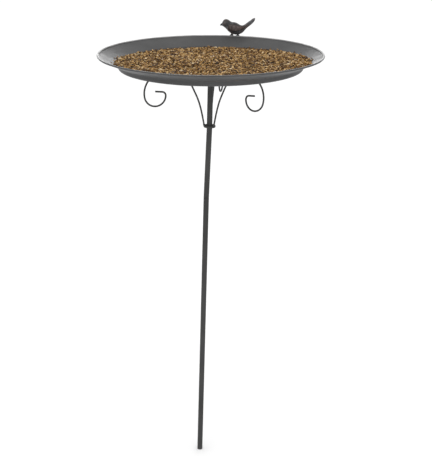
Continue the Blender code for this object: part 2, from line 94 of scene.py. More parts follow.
class Finish:
    """A node material made of object-space noise, colour ramps and a bump."""

    def __init__(self, name, roughness=0.5, metallic=0.0, specular=0.5):
        self.material = bpy.data.materials.new(name)
        self.material.use_nodes = True
        self.tree = self.material.node_tree
        self.shader = self.tree.nodes["Principled BSDF"]
        self.shader.inputs["Roughness"].default_value = roughness
        self.shader.inputs["Metallic"].default_value = metallic
        self.shader.inputs["Specular IOR Level"].default_value = specular
        self.place = self.tree.nodes.new("ShaderNodeTexCoord").outputs["Object"]
        self.normal = None

    def link(self, source, target):
        self.tree.links.new(source, target)

    def noise(self, scale, detail=2.0, rough=0.5, stretch=None):
        node = self.tree.nodes.new("ShaderNodeTexNoise")
        node.inputs["Scale"].default_value = scale
        node.inputs["Detail"].default_value = detail
        node.inputs["Roughness"].default_value = rough
        where = self.place
        if stretch:
            mapping = self.tree.nodes.new("ShaderNodeMapping")
            mapping.inputs["Scale"].default_value = stretch
            self.link(where, mapping.inputs["Vector"])
            where = mapping.outputs["Vector"]
        self.link(where, node.inputs["Vector"])
        return node.outputs["Fac"]

    def ramp(self, source, stops):
        node = self.tree.nodes.new("ShaderNodeValToRGB")
        while len(node.color_ramp.elements) < len(stops):
            node.color_ramp.elements.new(0.5)
        for element, (at, colour) in zip(node.color_ramp.elements, stops):
            element.position = at
            element.color = (*colour, 1.0)
        self.link(source, node.inputs["Fac"])
        return node.outputs["Color"]

    def remap(self, source, low, high, source_low=0.3, source_high=0.7):
        node = self.tree.nodes.new("ShaderNodeMapRange")
        node.inputs["From Min"].default_value = source_low
        node.inputs["From Max"].default_value = source_high
        node.inputs["To Min"].default_value = low
        node.inputs["To Max"].default_value = high
        self.link(source, node.inputs["Value"])
        return node.outputs["Result"]

    def mix(self, factor, a, b, mode="MIX"):
        node = self.tree.nodes.new("ShaderNodeMix")
        node.data_type = "RGBA"
        node.blend_type = mode
        if isinstance(factor, float):
            node.inputs["Factor"].default_value = factor
        else:
            self.link(factor, node.inputs["Factor"])
        for socket, value in ((node.inputs[6], a), (node.inputs[7], b)):
            if isinstance(value, tuple):
                socket.default_value = (*value, 1.0)
            else:
                self.link(value, socket)
        return node.outputs[2]

    def attribute(self, name):
        node = self.tree.nodes.new("ShaderNodeAttribute")
        node.attribute_name = name
        return node.outputs["Fac"]

    def bump(self, source, distance, strength=1.0):
        node = self.tree.nodes.new("ShaderNodeBump")
        node.inputs["Distance"].default_value = distance
        node.inputs["Strength"].default_value = strength
        self.link(source, node.inputs["Height"])
        if self.normal:
            self.link(self.normal, node.inputs["Normal"])
        self.normal = node.outputs["Normal"]
        self.link(self.normal, self.shader.inputs["Normal"])

    def colour(self, source):
        self.link(source, self.shader.inputs["Base Color"])

    def roughness(self, source):
        self.link(source, self.shader.inputs["Roughness"])


def powder_coat(name, dark=(0.040, 0.040, 0.0395), light=(0.052, 0.052, 0.051), specular=0.08,
                gloss=0.0, wear_and_highlight=None):
    """Matt grey paint with clouds and specks; the last argument names where a painted highlight goes."""
    made = Finish(name, specular=specular)
    clouds = made.noise(18.0, 3.0)
    specks = made.noise(2600.0, 1.0)
    base = made.ramp(clouds, [(0.35, dark), (0.65, light)])
    dust = made.ramp(specks, [(0.30, (0.86, 0.86, 0.86)), (0.72, (1.16, 1.16, 1.17))])
    finish = made.mix(1.0, base, dust, "MULTIPLY")
    if wear_and_highlight:
        # painted highlight: light grey laid over the coat where the attribute is high, broken up by noise
        highlight_share = made.mix(made.remap(made.noise(55.0, 3.0), 0.45, 1.0), (0.0, 0.0, 0.0), made.attribute(wear_and_highlight))
        finish = made.mix(highlight_share, finish, PAINTED_HIGHLIGHT_GREY)
    made.colour(finish)
    made.roughness(made.remap(made.noise(60.0, 2.0), 0.46 - gloss, 0.56 - gloss))
    made.bump(made.noise(900.0, 2.0), 0.00006, 0.7)
    return made.material


def zinc(name):
    made = Finish(name, roughness=0.34, metallic=1.0)
    spangle = made.noise(700.0, 2.0)
    made.colour(made.ramp(spangle, [(0.3, (0.42, 0.43, 0.44)), (0.7, (0.60, 0.61, 0.62))]))
    made.roughness(made.remap(made.noise(250.0, 3.0, stretch=(1, 1, 0.15)), 0.26, 0.44))
    made.bump(made.noise(1200.0, 2.0, stretch=(1, 1, 0.1)), 0.00003, 0.5)
    return made.material


def rubber(name):
    made = Finish(name, roughness=0.8)
    made.colour(made.ramp(made.noise(400.0), [(0.3, (0.022, 0.022, 0.023)), (0.7, (0.034, 0.034, 0.035))]))
    made.bump(made.noise(1500.0), 0.00004, 0.6)
    return made.material


# ---------------------------------------------------------------- mesh helpers
SHARP_ANGLE = math.radians(50)
CAP_RINGS = ((0.16, 0.92), (0.28, 0.72))    # reach and radius of a wire's end rings, in wire radii


def to_object(name, points, faces, material, body="dish_head", slot=None):
    mesh = bpy.data.meshes.new(name)
    mesh.from_pydata([tuple(p) for p in points], [], [tuple(f) for f in faces])
    mesh.materials.append(material)
    mesh.shade_smooth()
    mesh.set_sharp_from_angle(angle=SHARP_ANGLE)
    piece = bpy.data.objects.new(name, mesh)
    bpy.context.scene.collection.objects.link(piece)
    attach(piece, body)
    return piece


def join(*parts):
    """One list of points and one of faces from several."""
    points, faces = [], []
    for some_points, some_faces in parts:
        faces += [[i + len(points) for i in f] for f in some_faces]
        points += list(some_points)
    return points, faces


def turned(outline, sides, place=Matrix.Identity(4), ripple=0.0):
    """Solid of revolution from a closed outline of (radius, height), moved by a matrix."""
    points, faces, rings = [], [], []
    for radius, height in outline:
        if radius == 0.0:
            rings.append([len(points)])
            points.append(place @ Vector((0, 0, height)))
            continue
        ring = []
        for i in range(sides):
            angle = math.tau * i / sides
            out = radius + ripple * math.sin(7 * angle + 900 * height) * math.cos(3 * angle)
            ring.append(len(points))
            points.append(place @ Vector((out * math.cos(angle), out * math.sin(angle), height)))
        rings.append(ring)
    pairs = list(zip(rings, rings[1:]))
    if outline[0][0] > 0:
        pairs.append((rings[-1], rings[0]))
    for low, high in pairs:
        for i in range(max(len(low), len(high))):
            j = i + 1
            corners = [low[i % len(low)], low[j % len(low)], high[j % len(high)], high[i % len(high)]]
            corners = list(dict.fromkeys(corners))
            if len(corners) > 2:
                faces.append(corners)
    return points, faces


def swept(path, radii, sides=16, flatten=1.0):
    """Tube along a path with a radius at every point and rounded ends."""
    path = [Vector(p) for p in path]
    points, faces, rings = [], [], []
    along = [(b - a).normalized() for a, b in zip(path, path[1:])]
    tangents = [along[0]] + [(a + b).normalized() for a, b in zip(along, along[1:])] + [along[-1]]
    side = tangents[0].orthogonal().normalized()
    stations = []
    for centre, tangent, radius in zip(path, tangents, radii):
        side = (side - tangent * side.dot(tangent)).normalized()
        stations.append((centre, tangent, side.copy(), radius))
    first, last = stations[0], stations[-1]
    caps_in = [(first[0] - first[1] * first[3] * s, first[1], first[2], first[3] * c)
               for s, c in CAP_RINGS[::-1]]
    caps_out = [(last[0] + last[1] * last[3] * s, last[1], last[2], last[3] * c)
                for s, c in CAP_RINGS]
    for centre, tangent, across, radius in caps_in + stations + caps_out:
        other = tangent.cross(across)
        ring = []
        for i in range(sides):
            angle = math.tau * i / sides
            ring.append(len(points))
            points.append(centre + across * (radius * math.cos(angle))
                          + other * (radius * flatten * math.sin(angle)))
        rings.append(ring)
    for low, high in zip(rings, rings[1:]):
        for i in range(sides):
            j = (i + 1) % sides
            faces.append([low[i], low[j], high[j], high[i]])
    faces.append(rings[0][::-1])
    faces.append(rings[-1])
    return points, faces


def meet(point_a, angle_a, point_b, angle_b):
    """Where two lines cross, each given by a point and a direction."""
    along_a = Vector((math.cos(angle_a), math.sin(angle_a)))
    along_b = Vector((math.cos(angle_b), math.sin(angle_b)))
    return point_a + along_a * ((point_b - point_a).cross(along_b) / along_a.cross(along_b))


def rounded(before, corner, after, radius, steps=6):
    """Points of the arc that rounds a corner."""
    back = (before - corner).normalized()
    ahead = (after - corner).normalized()
    half = back.angle(ahead) / 2
    setback = radius / math.tan(half)
    centre = corner + (back + ahead).normalized() * (radius / math.sin(half))
    start = corner + back * setback - centre
    sweep = start.angle_signed(corner + ahead * setback - centre)
    return [centre + Matrix.Rotation(-sweep * i / steps, 2) @ start for i in range(steps + 1)]


# ---------------------------------------------------------------- dish
BEAD_CENTRE = Vector((DISH_RADIUS - BEAD_RADIUS, -BEAD_RADIUS))
FLOOR_Z = SHEET - DISH_DEPTH
BASE_RADIUS = DISH_RADIUS - BRIM_WIDTH
KNEE = Vector((BASE_RADIUS + RISER_HEIGHT / math.tan(RISER_ANGLE), RISER_HEIGHT - DISH_DEPTH))
KNEE_TO_BEAD = BEAD_CENTRE - KNEE
BRIM_ANGLE = math.atan2(KNEE_TO_BEAD.y, KNEE_TO_BEAD.x) - math.asin(SHEET / KNEE_TO_BEAD.length)
RIM_FRAME = Matrix.Translation(RIM)
DISH_SIDES = 180
BEAD_STEPS = 16
CROWN_SIDE = Vector((-0.6, 0.8))    # the side of the bead, inward and up, where the painted highlight goes
CROWN_START = 0.25
CROWN_SPREAD = 0.5
CROWN_REACH = 1.2 * BEAD_RADIUS


def dish_outline():
    outside_brim = BEAD_CENTRE - Vector((-math.sin(BRIM_ANGLE), math.cos(BRIM_ANGLE))) * SHEET
    outside_base = Vector((BASE_RADIUS, -DISH_DEPTH))
    riser_shift = Vector((-math.sin(RISER_ANGLE), math.cos(RISER_ANGLE))) * SHEET
    hole_outside = Vector((SCREW_HOLE_RADIUS, -DISH_DEPTH))
    hole_inside = Vector((SCREW_HOLE_RADIUS, FLOOR_Z))
    inside_base = meet(hole_inside, 0.0, outside_base + riser_shift, RISER_ANGLE)
    inside_knee = meet(inside_base, RISER_ANGLE, BEAD_CENTRE, BRIM_ANGLE)
    points = [hole_outside]
    points += rounded(hole_outside, outside_base, KNEE, BASE_CORNER)
    points += rounded(outside_base, KNEE, outside_brim, BRIM_CORNER)
    start = math.pi + BRIM_ANGLE + math.asin(SHEET / BEAD_RADIUS)
    end = 3 * math.pi + BRIM_ANGLE
    for i in range(BEAD_STEPS + 1):
        angle = start + (end - start) * i / BEAD_STEPS
        points.append(BEAD_CENTRE + Vector((math.cos(angle), math.sin(angle))) * BEAD_RADIUS)
    points += rounded(BEAD_CENTRE, inside_knee, inside_base, BRIM_CORNER + SHEET)
    points += rounded(inside_knee, inside_base, hole_inside, BASE_CORNER - SHEET)
    points.append(hole_inside)
    return points


def make_dish():
    coat = powder_coat("dish_coat", dark=(0.053, 0.053, 0.053), light=(0.066, 0.066, 0.066),
                       specular=0.10, gloss=0.10, wear_and_highlight="bead_highlight")
    piece = to_object("dish_shell", *turned(dish_outline(), DISH_SIDES, RIM_FRAME), coat, slot="powder_coat")
    bead_highlight = piece.data.attributes.new("bead_highlight", "FLOAT", "POINT")
    highlight_share = []
    # share of the painted highlight at each point: the inward and upward side of the bead
    for vertex in piece.data.vertices:
        place = vertex.co - RIM
        across = Vector((math.hypot(place.x, place.y), place.z)) - BEAD_CENTRE
        near = across.length < CROWN_REACH
        facing = across.dot(CROWN_SIDE) / BEAD_RADIUS
        highlight_share.append(min(1.0, max(0.0, (facing - CROWN_START) / CROWN_SPREAD)) * near)
    bead_highlight.data.foreach_set("value", highlight_share)
    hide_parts("dish")


# ---------------------------------------------------------------- scroll arms, collar and welds
ARM_END_STRAIGHT = 0.0100
COLLAR_SOFT = 0.00048
# outlines of the welds, as radius and height in millimetres
WELD_BEAD = [(0.0, -0.7), (1.25, -0.7), (1.75, -0.35), (1.85, 0.1), (1.62, 0.7), (1.36, 1.2),
             (1.0, 1.35), (0.0, 1.35)]
STEM_FILLET = [(4.02, 1.25), (5.2, 1.25), (4.95, 1.6), (4.5, 2.0), (4.2, 2.45), (4.02, 2.5)]


def arm_bends(rise):
    """Straight runs and clockwise bends of the wire, foot first: (length or radius, turn)."""
    bends = [(0.160, math.radians(7)), (0.090, math.radians(7)), (0.014, 0.0),
             (0.042, math.radians(64)), (0.0037, 0.0)]
    climbed = 0.0
    heading = ARM_FOOT_SLOPE
    for size, turn in bends:
        if turn:
            climbed += size * (math.cos(heading - turn) - math.cos(heading))
            heading -= turn
        else:
            climbed += size * math.sin(heading)
    first_straight = (rise - climbed) / math.sin(ARM_FOOT_SLOPE)
    scroll = [(0.0288, math.radians(103)), (0.0166, math.radians(77)), (0.0144, math.radians(90)),
              (0.0057, math.radians(84)), (ARM_END_STRAIGHT, 0.0)]
    return [(first_straight, 0.0)] + bends + scroll


def wire_path(start, heading, bends, step=math.radians(5)):
    """Points along a bent wire in its own plane, as (out, up)."""
    points = [Vector(start)]
    for size, turn in bends:
        if not turn:
            points.append(points[-1] + Vector((math.cos(heading), math.sin(heading))) * size)
            continue
        to_centre = Vector((math.sin(heading), -math.cos(heading))) * size
        centre = points[-1] + to_centre
        count = max(2, round(turn / step))
        for i in range(1, count + 1):
            points.append(centre - Matrix.Rotation(turn * i / count, 2).inverted() @ to_centre)
        heading -= turn
    return points


def make_arms():
    foot = STEM_RISE - COLLAR_HEIGHT - 3 * GAP
    start = (COLLAR_RADIUS - ARM_FOOT_INSET, -DISH_DEPTH - foot)
    path = wire_path(start, ARM_FOOT_SLOPE, arm_bends(foot - GAP - WIRE_RADIUS))
    lean = STEM_AXIS.x / STEM_AXIS.z
    for side, azimuth in ARM_AZIMUTHS.items():
        places = []
        for out, up in path:
            drift = (up + DISH_DEPTH) * lean
            places.append(RIM + Vector((out * math.cos(azimuth) + drift, out * math.sin(azimuth), up)))
        coat = powder_coat("arm_coat_" + side)
        wire = swept(places, [WIRE_RADIUS] * len(places), 16)
        piece = to_object("scroll_wire_" + side, *wire, coat, slot="powder_coat")
        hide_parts("scroll_arm_" + side)
        up = (places[1] - places[0]).normalized()
        turn = Vector((0, 0, 1)).rotation_difference(up).to_matrix().to_4x4()
        bead = [(r * MM, h * MM) for r, h in WELD_BEAD]
        weld = turned(bead, 20, Matrix.Translation(places[0]) @ turn, ripple=0.00010)
        to_object("arm_weld_" + side, *weld, coat, slot="powder_coat")


def make_collar():
    inner = COLLAR_RADIUS - COLLAR_WALL
    bore = TUBE_RADIUS + GAP
    bottom, middle, top = 0.0, COLLAR_FLOOR, COLLAR_HEIGHT
    outside = Vector((COLLAR_RADIUS, bottom)), Vector((COLLAR_RADIUS, top))
    outline = [Vector((bore, bottom))]
    outline += rounded(Vector((bore, bottom)), outside[0], outside[1], COLLAR_SOFT, 4)
    outline += rounded(outside[0], outside[1], Vector((inner, top)), COLLAR_SOFT, 4)
    outline += rounded(outside[1], Vector((inner, top)), Vector((inner, middle)), COLLAR_SOFT, 3)
    outline += [Vector((inner, middle)), Vector((bore, middle))]
    place = Matrix.Translation(STEM_FOOT) @ STEM_TURN
    coat = powder_coat("collar_coat")
    piece = to_object("collar_ring", *turned(outline, 64, place), coat, slot="powder_coat")
    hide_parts("arm_collar")
    fillet = [(r * MM, h * MM) for r, h in STEM_FILLET]
    weld = turned(fillet, 48, place, ripple=0.00008)
    to_object("stem_weld", *weld, coat, slot="powder_coat")


# ---------------------------------------------------------------- seed
SLOPE = math.tan(BRIM_ANGLE)
FALL = math.tan(SEED_TILT)
DOWNHILL = np.array([math.cos(SEED_FALL), math.sin(SEED_FALL)]) * FALL
SEED_LEVEL = -FLOOR_Z - SEED_DEPTH
SLUMP_INSET = 0.018                 # share by which the heap has slumped away from the back wall
SLUMP_DROP = 0.0012
CALM_WIDTH = 0.03                   # the waves die out over this distance from the wall
WAVE_MM = 0.7                       # scale of the waves on the heap, in millimetres
MEAL_SIDES = 120
GRAIN_LIFT = 0.3                    # centre of a grain over the heap, as a share of its thickness
# tones from dark to light, roughness, count, length, width and thickness in millimetres, spread of size,
# (sides, rings, belly, bluntness) of the grain, and share of grains that have strayed up the wall
GRAINS = {
    "seed_oats": ("oat_husk", [(0.0, (0.034, 0.016, 0.006)), (0.3, (0.105, 0.056, 0.018)),
                               (0.6, (0.225, 0.128, 0.044)), (0.85, (0.350, 0.218, 0.088)),
                               (1.0, (0.500, 0.345, 0.170))],
                  0.62, 5200, (5.4, 1.65, 1.30), 0.18, (6, 3, 0.45, 0.8), 0.012),
    "seed_millet": ("millet_husk", [(0.0, (0.055, 0.019, 0.006)), (0.3, (0.135, 0.067, 0.020)),
                                    (0.7, (0.260, 0.150, 0.050)), (1.0, (0.400, 0.265, 0.120))],
                    0.5, 2600, (2.1, 1.9, 1.7), 0.10, (6, 3, 0.5, 0.6), 0.012),
    "seed_dark": ("dark_husk", [(0.0, (0.020, 0.010, 0.004)), (0.5, (0.040, 0.020, 0.009)),
                                (0.85, (0.075, 0.038, 0.016)), (1.0, (0.110, 0.060, 0.026))],
                  0.5, 1500, (3.6, 2.1, 1.6), 0.28, (6, 3, 0.42, 0.7), 0.01),
    "seed_kernels": ("pale_kernel", [(0.0, (0.30, 0.20, 0.10)), (0.6, (0.42, 0.31, 0.17)),
                                     (1.0, (0.58, 0.47, 0.32))],
                     0.55, 420, (4.4, 2.6, 1.5), 0.22, (8, 4, 0.42, 0.65), 0.0),
}


def seed_edge(angle):
    """Radius at which the heap meets the wall."""
    free = BEAD_CENTRE.x + (BEAD_RADIUS - 2 * GAP - SEED_LEVEL) / SLOPE
    slumped = 1 - SLUMP_INSET * np.clip(np.sin(angle), 0, 1)
    return free / (1 + FALL * np.cos(angle - SEED_FALL) / SLOPE) * slumped


def brim_height(radius):
    """Height of the inside of the brim over the rim plane."""
    return BEAD_CENTRE.y - (BEAD_CENTRE.x - radius) * SLOPE


def seed_height(x, y):
    """Height of the heap over the rim plane: a gentle tilt and soft waves that die out at the wall."""
    radius = np.hypot(x, y)
    calm = np.clip((seed_edge(np.arctan2(y, x)) - radius) / CALM_WIDTH, 0, 1)
    waves = 0.55 * np.sin(71 * x + 1.3) * np.cos(63 * y - 0.6) + 0.35 * np.sin(139 * x - 97 * y + 0.4)
    waves += 0.28 * np.sin(211 * y + 157 * x) + 0.2 * np.cos(263 * x - 41 * y)
    slump = SLUMP_DROP * np.clip(y / DISH_RADIUS, 0, 1)
    return -SEED_LEVEL - (DOWNHILL[0] * x + DOWNHILL[1] * y) + waves * calm * WAVE_MM * MM - slump


def grain_finish(name, stops, rough):
    made = Finish(name, specular=0.06)
    base = made.ramp(made.attribute("tone"), stops)
    streaks = made.ramp(made.noise(700.0, 3.0), [(0.3, (0.62, 0.59, 0.54)), (0.7, (1.62, 1.60, 1.52))])
    made.colour(made.mix(1.0, base, streaks, "MULTIPLY"))
    made.roughness(made.remap(made.noise(900.0), rough - 0.08, rough + 0.08))
    made.bump(made.noise(2600.0, 2.0), 0.00012, 0.8)
    return made.material


def grain_template(sides, rings, belly, blunt):
    """Unit grain along X: points and faces of a closed spindle, widest at belly (0 to 1)."""
    points = [(-0.5, 0.0, 0.0)]
    for k in range(1, rings + 1):
        u = k / (rings + 1)
        bend = u ** (math.log(0.5) / math.log(belly))
        radius = 0.5 * math.sin(math.pi * bend) ** blunt
        for i in range(sides):
            angle = math.tau * i / sides
            points.append((u - 0.5, radius * math.cos(angle), radius * math.sin(angle)))
    points.append((0.5, 0.0, 0.0))
    faces = []
    last = len(points) - 1
    for i in range(sides):
        j = (i + 1) % sides
        faces.append((0, 1 + j, 1 + i))
        for k in range(rings - 1):
            a, b = 1 + k * sides, 1 + (k + 1) * sides
            faces.append((a + i, a + j, b + j))
            faces.append((a + i, b + j, b + i))
        a = 1 + (rings - 1) * sides
        faces.append((a + i, a + j, last))
    return np.array(points), np.array(faces)


def make_grains(name, count, size, spread, template, material, strays):
    """Many loose grains on the heap: each has its own size, turn, tilt and tone."""
    points, faces = template
    angle = rng.uniform(0, math.tau, count)
    edge = seed_edge(angle)
    reach = np.sqrt(rng.uniform(0, 1, count)) * (edge - 0.0016)
    stray = rng.uniform(0, 1, count) < strays
    reach = np.where(stray, edge + rng.uniform(-0.002, 0.0035, count), reach)
    x, y = reach * np.cos(angle), reach * np.sin(angle)
    scale = np.array(size) * rng.normal(1.0, spread, (count, 1)).clip(0.6, 1.5)
    scale = scale * rng.uniform(0.86, 1.14, (count, 3))
    on_wall = brim_height(reach) + 0.0002
    bed = seed_height(x, y)
    z = np.maximum(bed, on_wall) + scale[:, 2] * GRAIN_LIFT + rng.uniform(-0.0005, 0.0004, count)
    lying = (on_wall > bed - 0.0004).astype(float)
    normal = np.stack([-SLOPE * np.cos(angle) * lying, -SLOPE * np.sin(angle) * lying, np.ones(count)], 1)
    normal[:, :2] += rng.normal(0, 0.30, (count, 2)) * (1 - 0.6 * lying)[:, None]
    normal /= np.linalg.norm(normal, axis=1, keepdims=True)
    yaw = rng.uniform(0, math.tau, count)
    ahead = np.stack([np.cos(yaw), np.sin(yaw), np.zeros(count)], 1)
    ahead -= normal * (ahead * normal).sum(1, keepdims=True)
    ahead /= np.linalg.norm(ahead, axis=1, keepdims=True)
    across = np.cross(normal, ahead)
    local = points[None] * scale[:, None]
    places = (local[:, :, :1] * ahead[:, None] + local[:, :, 1:2] * across[:, None]
              + local[:, :, 2:] * normal[:, None])
    places += np.stack([x, y, z], 1)[:, None] + np.array(RIM)[None, None]
    corners = (faces[None] + (np.arange(count) * len(points))[:, None, None]).reshape(-1, 3)
    mesh = bpy.data.meshes.new(name)
    mesh.from_pydata(places.reshape(-1, 3).tolist(), [], corners.tolist())
    tone = mesh.attributes.new("tone", "FLOAT", "POINT")
    tone.data.foreach_set("value", np.repeat(rng.uniform(0, 1, count), len(points)).astype(np.float32))
    mesh.materials.append(material)
    mesh.shade_smooth()
    piece = bpy.data.objects.new(name, mesh)
    bpy.context.scene.collection.objects.link(piece)
    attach(piece, "dish_head")
    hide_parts("seed_bed")


def make_meal():
    """Heap of small broken seed that the whole grains lie on."""
    sides = MEAL_SIDES
    points, faces = [], []
    shares = np.concatenate([np.linspace(0.02, 0.97, 44), [1.0]])
    foot_radius = BASE_RADIUS - SHEET - 2 * GAP
    for share in shares:
        for i in range(sides):
            angle = math.tau * i / sides
            radius = (float(seed_edge(angle)) - 0.0006) * share
            x, y = radius * math.cos(angle), radius * math.sin(angle)
            z = float(seed_height(x, y)) - 0.0008 + rng.uniform(-0.0005, 0.0005) * (share < 1)
            points.append(RIM + Vector((x, y, max(z, brim_height(radius) + 0.00015))))
    foot = ((foot_radius, brim_height(foot_radius) - 0.0012), (foot_radius - BASE_CORNER, FLOOR_Z + GAP))
    for radius, z in foot:
        for i in range(sides):
            angle = math.tau * i / sides
            points.append(RIM + Vector((radius * math.cos(angle), radius * math.sin(angle), z)))
    rows = len(shares) + 2
    for k in range(rows - 1):
        for i in range(sides):
            j = (i + 1) % sides
            faces.append((k * sides + i, (k + 1) * sides + i, (k + 1) * sides + j, k * sides + j))
    faces.append(tuple(range(sides)))
    faces.append(tuple((rows - 1) * sides + i for i in range(sides))[::-1])
    made = Finish("seed_meal", roughness=0.85, specular=0.3)
    cells = made.tree.nodes.new("ShaderNodeTexVoronoi")
    cells.inputs["Scale"].default_value = 430.0
    made.link(made.place, cells.inputs["Vector"])
    pieces = made.tree.nodes.new("ShaderNodeSeparateColor")
    made.link(cells.outputs["Color"], pieces.inputs["Color"])
    tones = made.ramp(pieces.outputs["Red"], [(0.0, (0.020, 0.011, 0.005)), (0.35, (0.065, 0.038, 0.015)),
                                             (0.75, (0.130, 0.080, 0.034)), (1.0, (0.200, 0.135, 0.062))])
    shade = made.ramp(cells.outputs["Distance"], [(0.0, (1.0, 1.0, 1.0)), (0.55, (0.75, 0.75, 0.75)),
                                                  (0.9, (0.25, 0.25, 0.25))])
    made.colour(made.mix(1.0, tones, shade, "MULTIPLY"))
    made.bump(cells.outputs["Distance"], -0.0008, 0.9)
    piece = to_object("seed_meal", points, faces, made.material, slot="seed")
    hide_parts("seed_bed")


def make_seed():
    make_meal()
    for name, (husk, tones, rough, count, size, spread, shape, strays) in GRAINS.items():
        material = grain_finish(husk, tones, rough)
        size = tuple(length * MM for length in size)
        make_grains(name, count, size, spread, grain_template(*shape), material, strays)


# ---------------------------------------------------------------- bird
tab_low, tab_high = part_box("bird_tab")
PERCH = (tab_low + tab_high) / 2
PERCH.z = tab_high.z + GAP
PERCH_AZIMUTH = math.atan2(PERCH.y - RIM.y, PERCH.x - RIM.x)
PERCH_FRAME = Matrix.Translation(PERCH) @ Matrix.Rotation(PERCH_AZIMUTH + math.pi / 2, 4, "Z")
# along the bird, underside, top, half width, in millimetres
SECTIONS = np.array([
    (19.9, 15.3, 17.9, 1.2), (19.3, 14.7, 19.8, 2.5), (18.3, 14.1, 21.9, 3.6), (17.0, 13.2, 23.6, 4.6),
    (15.4, 12.2, 24.7, 5.2), (13.6, 10.8, 25.1, 5.5), (11.6, 9.0, 24.8, 5.7), (9.4, 6.7, 23.8, 6.1),
    (6.8, 4.6, 22.0, 6.6), (4.0, 3.0, 20.8, 7.0), (1.4, 2.2, 20.7, 7.2), (-1.0, 1.9, 20.4, 7.2),
    (-3.6, 1.9, 19.5, 7.1), (-6.2, 2.2, 18.0, 6.8), (-8.6, 2.9, 16.8, 6.5), (-10.8, 3.9, 16.2, 5.7),
    (-12.8, 5.3, 16.3, 4.8), (-14.8, 7.2, 17.1, 4.0), (-16.6, 9.5, 18.3, 3.4), (-18.8, 11.9, 20.0, 3.0),
    (-21.4, 14.2, 21.9, 2.9), (-24.4, 16.6, 24.1, 3.1), (-27.4, 19.2, 26.4, 3.3), (-30.0, 21.9, 27.9, 3.3),
    (-31.4, 24.0, 28.1, 2.6), (-32.0, 25.4, 28.1, 1.2)])


BODY_SIDES = 56
BODY_SQUARENESS = 1.1               # 1 is an ellipse
WING_COLUMNS = 22
# top and bottom edge of the folded wing, as along and height in millimetres
WING_TOP = np.array([(8.6, 16.6), (5.0, 18.2), (-1.0, 18.0), (-7.0, 16.2), (-12.4, 15.0), (-17.6, 15.6)])
WING_BOTTOM = np.array([(8.6, 15.4), (6.6, 10.4), (0.6, 7.6), (-6.4, 8.4), (-12.6, 11.8), (-17.6, 15.0)])
LEGS = ((4.2, -1.6), (-6.0, 1.6))   # along and to the side, in millimetres
TOES = ((-0.55, 2.7), (0.0, 3.2), (0.55, 2.7), (math.pi, 2.2))      # direction and length
STUD = [(0.0, -4.2), (0.8, -4.2), (1.0, -4.0), (1.0, 0.2), (0.0, 0.2)]
EYE_PLACE = (16.1, 20.4)            # along and height, in millimetres
EYE_RADIUS = 0.78


def smooth_rows(rows, per_span):
    """Catmull-Rom rows between the given ones."""
    padded = np.vstack([2 * rows[0] - rows[1], rows, 2 * rows[-1] - rows[-2]])
    made = []
    for i in range(1, len(padded) - 2):
        a, b, c, d = padded[i - 1:i + 3]
        for t in np.linspace(0, 1, per_span, endpoint=False):
            made.append(0.5 * (2 * b + (c - a) * t + (2 * a - 5 * b + 4 * c - d) * t ** 2
                               + (3 * b - a - 3 * c + d) * t ** 3))
    made.append(padded[-2])
    return np.array(made)


def body_side(along, height):
    """Half width of the body at a place in the side view, in millimetres."""
    order = np.argsort(SECTIONS[:, 0])
    low, high, half = (np.interp(along, SECTIONS[order, 0], SECTIONS[order, k]) for k in (1, 2, 3))
    share = np.clip((height - (low + high) / 2) / ((high - low) / 2), -0.97, 0.97)
    return half * (1 - abs(share) ** 2.2) ** (1 / 2.2)


def plumage(along, around, girth):
    """Relief of small overlapping feathers, in millimetres."""
    row = along / 2.3
    stagger = 0.5 * (np.floor(row) % 2)
    rise = 1 - (row - np.floor(row))
    count = max(6, round(girth / 2.6))
    cell = (around / math.tau * count + stagger) % 1.0
    dome = 1 - (2 * cell - 1) ** 2
    return (0.10 + 0.42 * rise) * dome


def bird_material(name, stops, warm):
    """Cast metal, dark in the hollows of its relief and polished lighter on the heights by wear."""
    made = Finish(name, roughness=0.5, specular=0.2)
    wear_and_highlight = made.ramp(made.attribute("relief"), [(0.0, (0.12, 0.12, 0.12)), (0.45, (0.72, 0.72, 0.72)),
                                                (1.0, (2.3, 2.3, 2.35))])
    patches = made.ramp(made.noise(170.0, 3.0, 0.6), stops)
    tinted = made.mix(made.remap(made.noise(90.0, 2.0), 0.0, 1.0, 0.42, 0.62), patches, warm)
    made.colour(made.mix(1.0, tinted, wear_and_highlight, "MULTIPLY"))
    made.roughness(made.remap(made.noise(500.0), 0.38, 0.58))
    made.bump(made.noise(1400.0, 3.0, 0.6), 0.00030, 1.0)
    return made.material


def add_relief(piece, values):
    relief = piece.data.attributes.new("relief", "FLOAT", "POINT")
    relief.data.foreach_set("value", np.asarray(values, np.float32))


def bird_piece(name, points, faces, material, relief=None):
    places = [PERCH_FRAME @ (Vector(p) * MM) for p in points]
    piece = to_object(name, places, faces, material, slot="bird_cast")
    add_relief(piece, relief if relief is not None else [0.5] * len(places))
    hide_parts("bird")


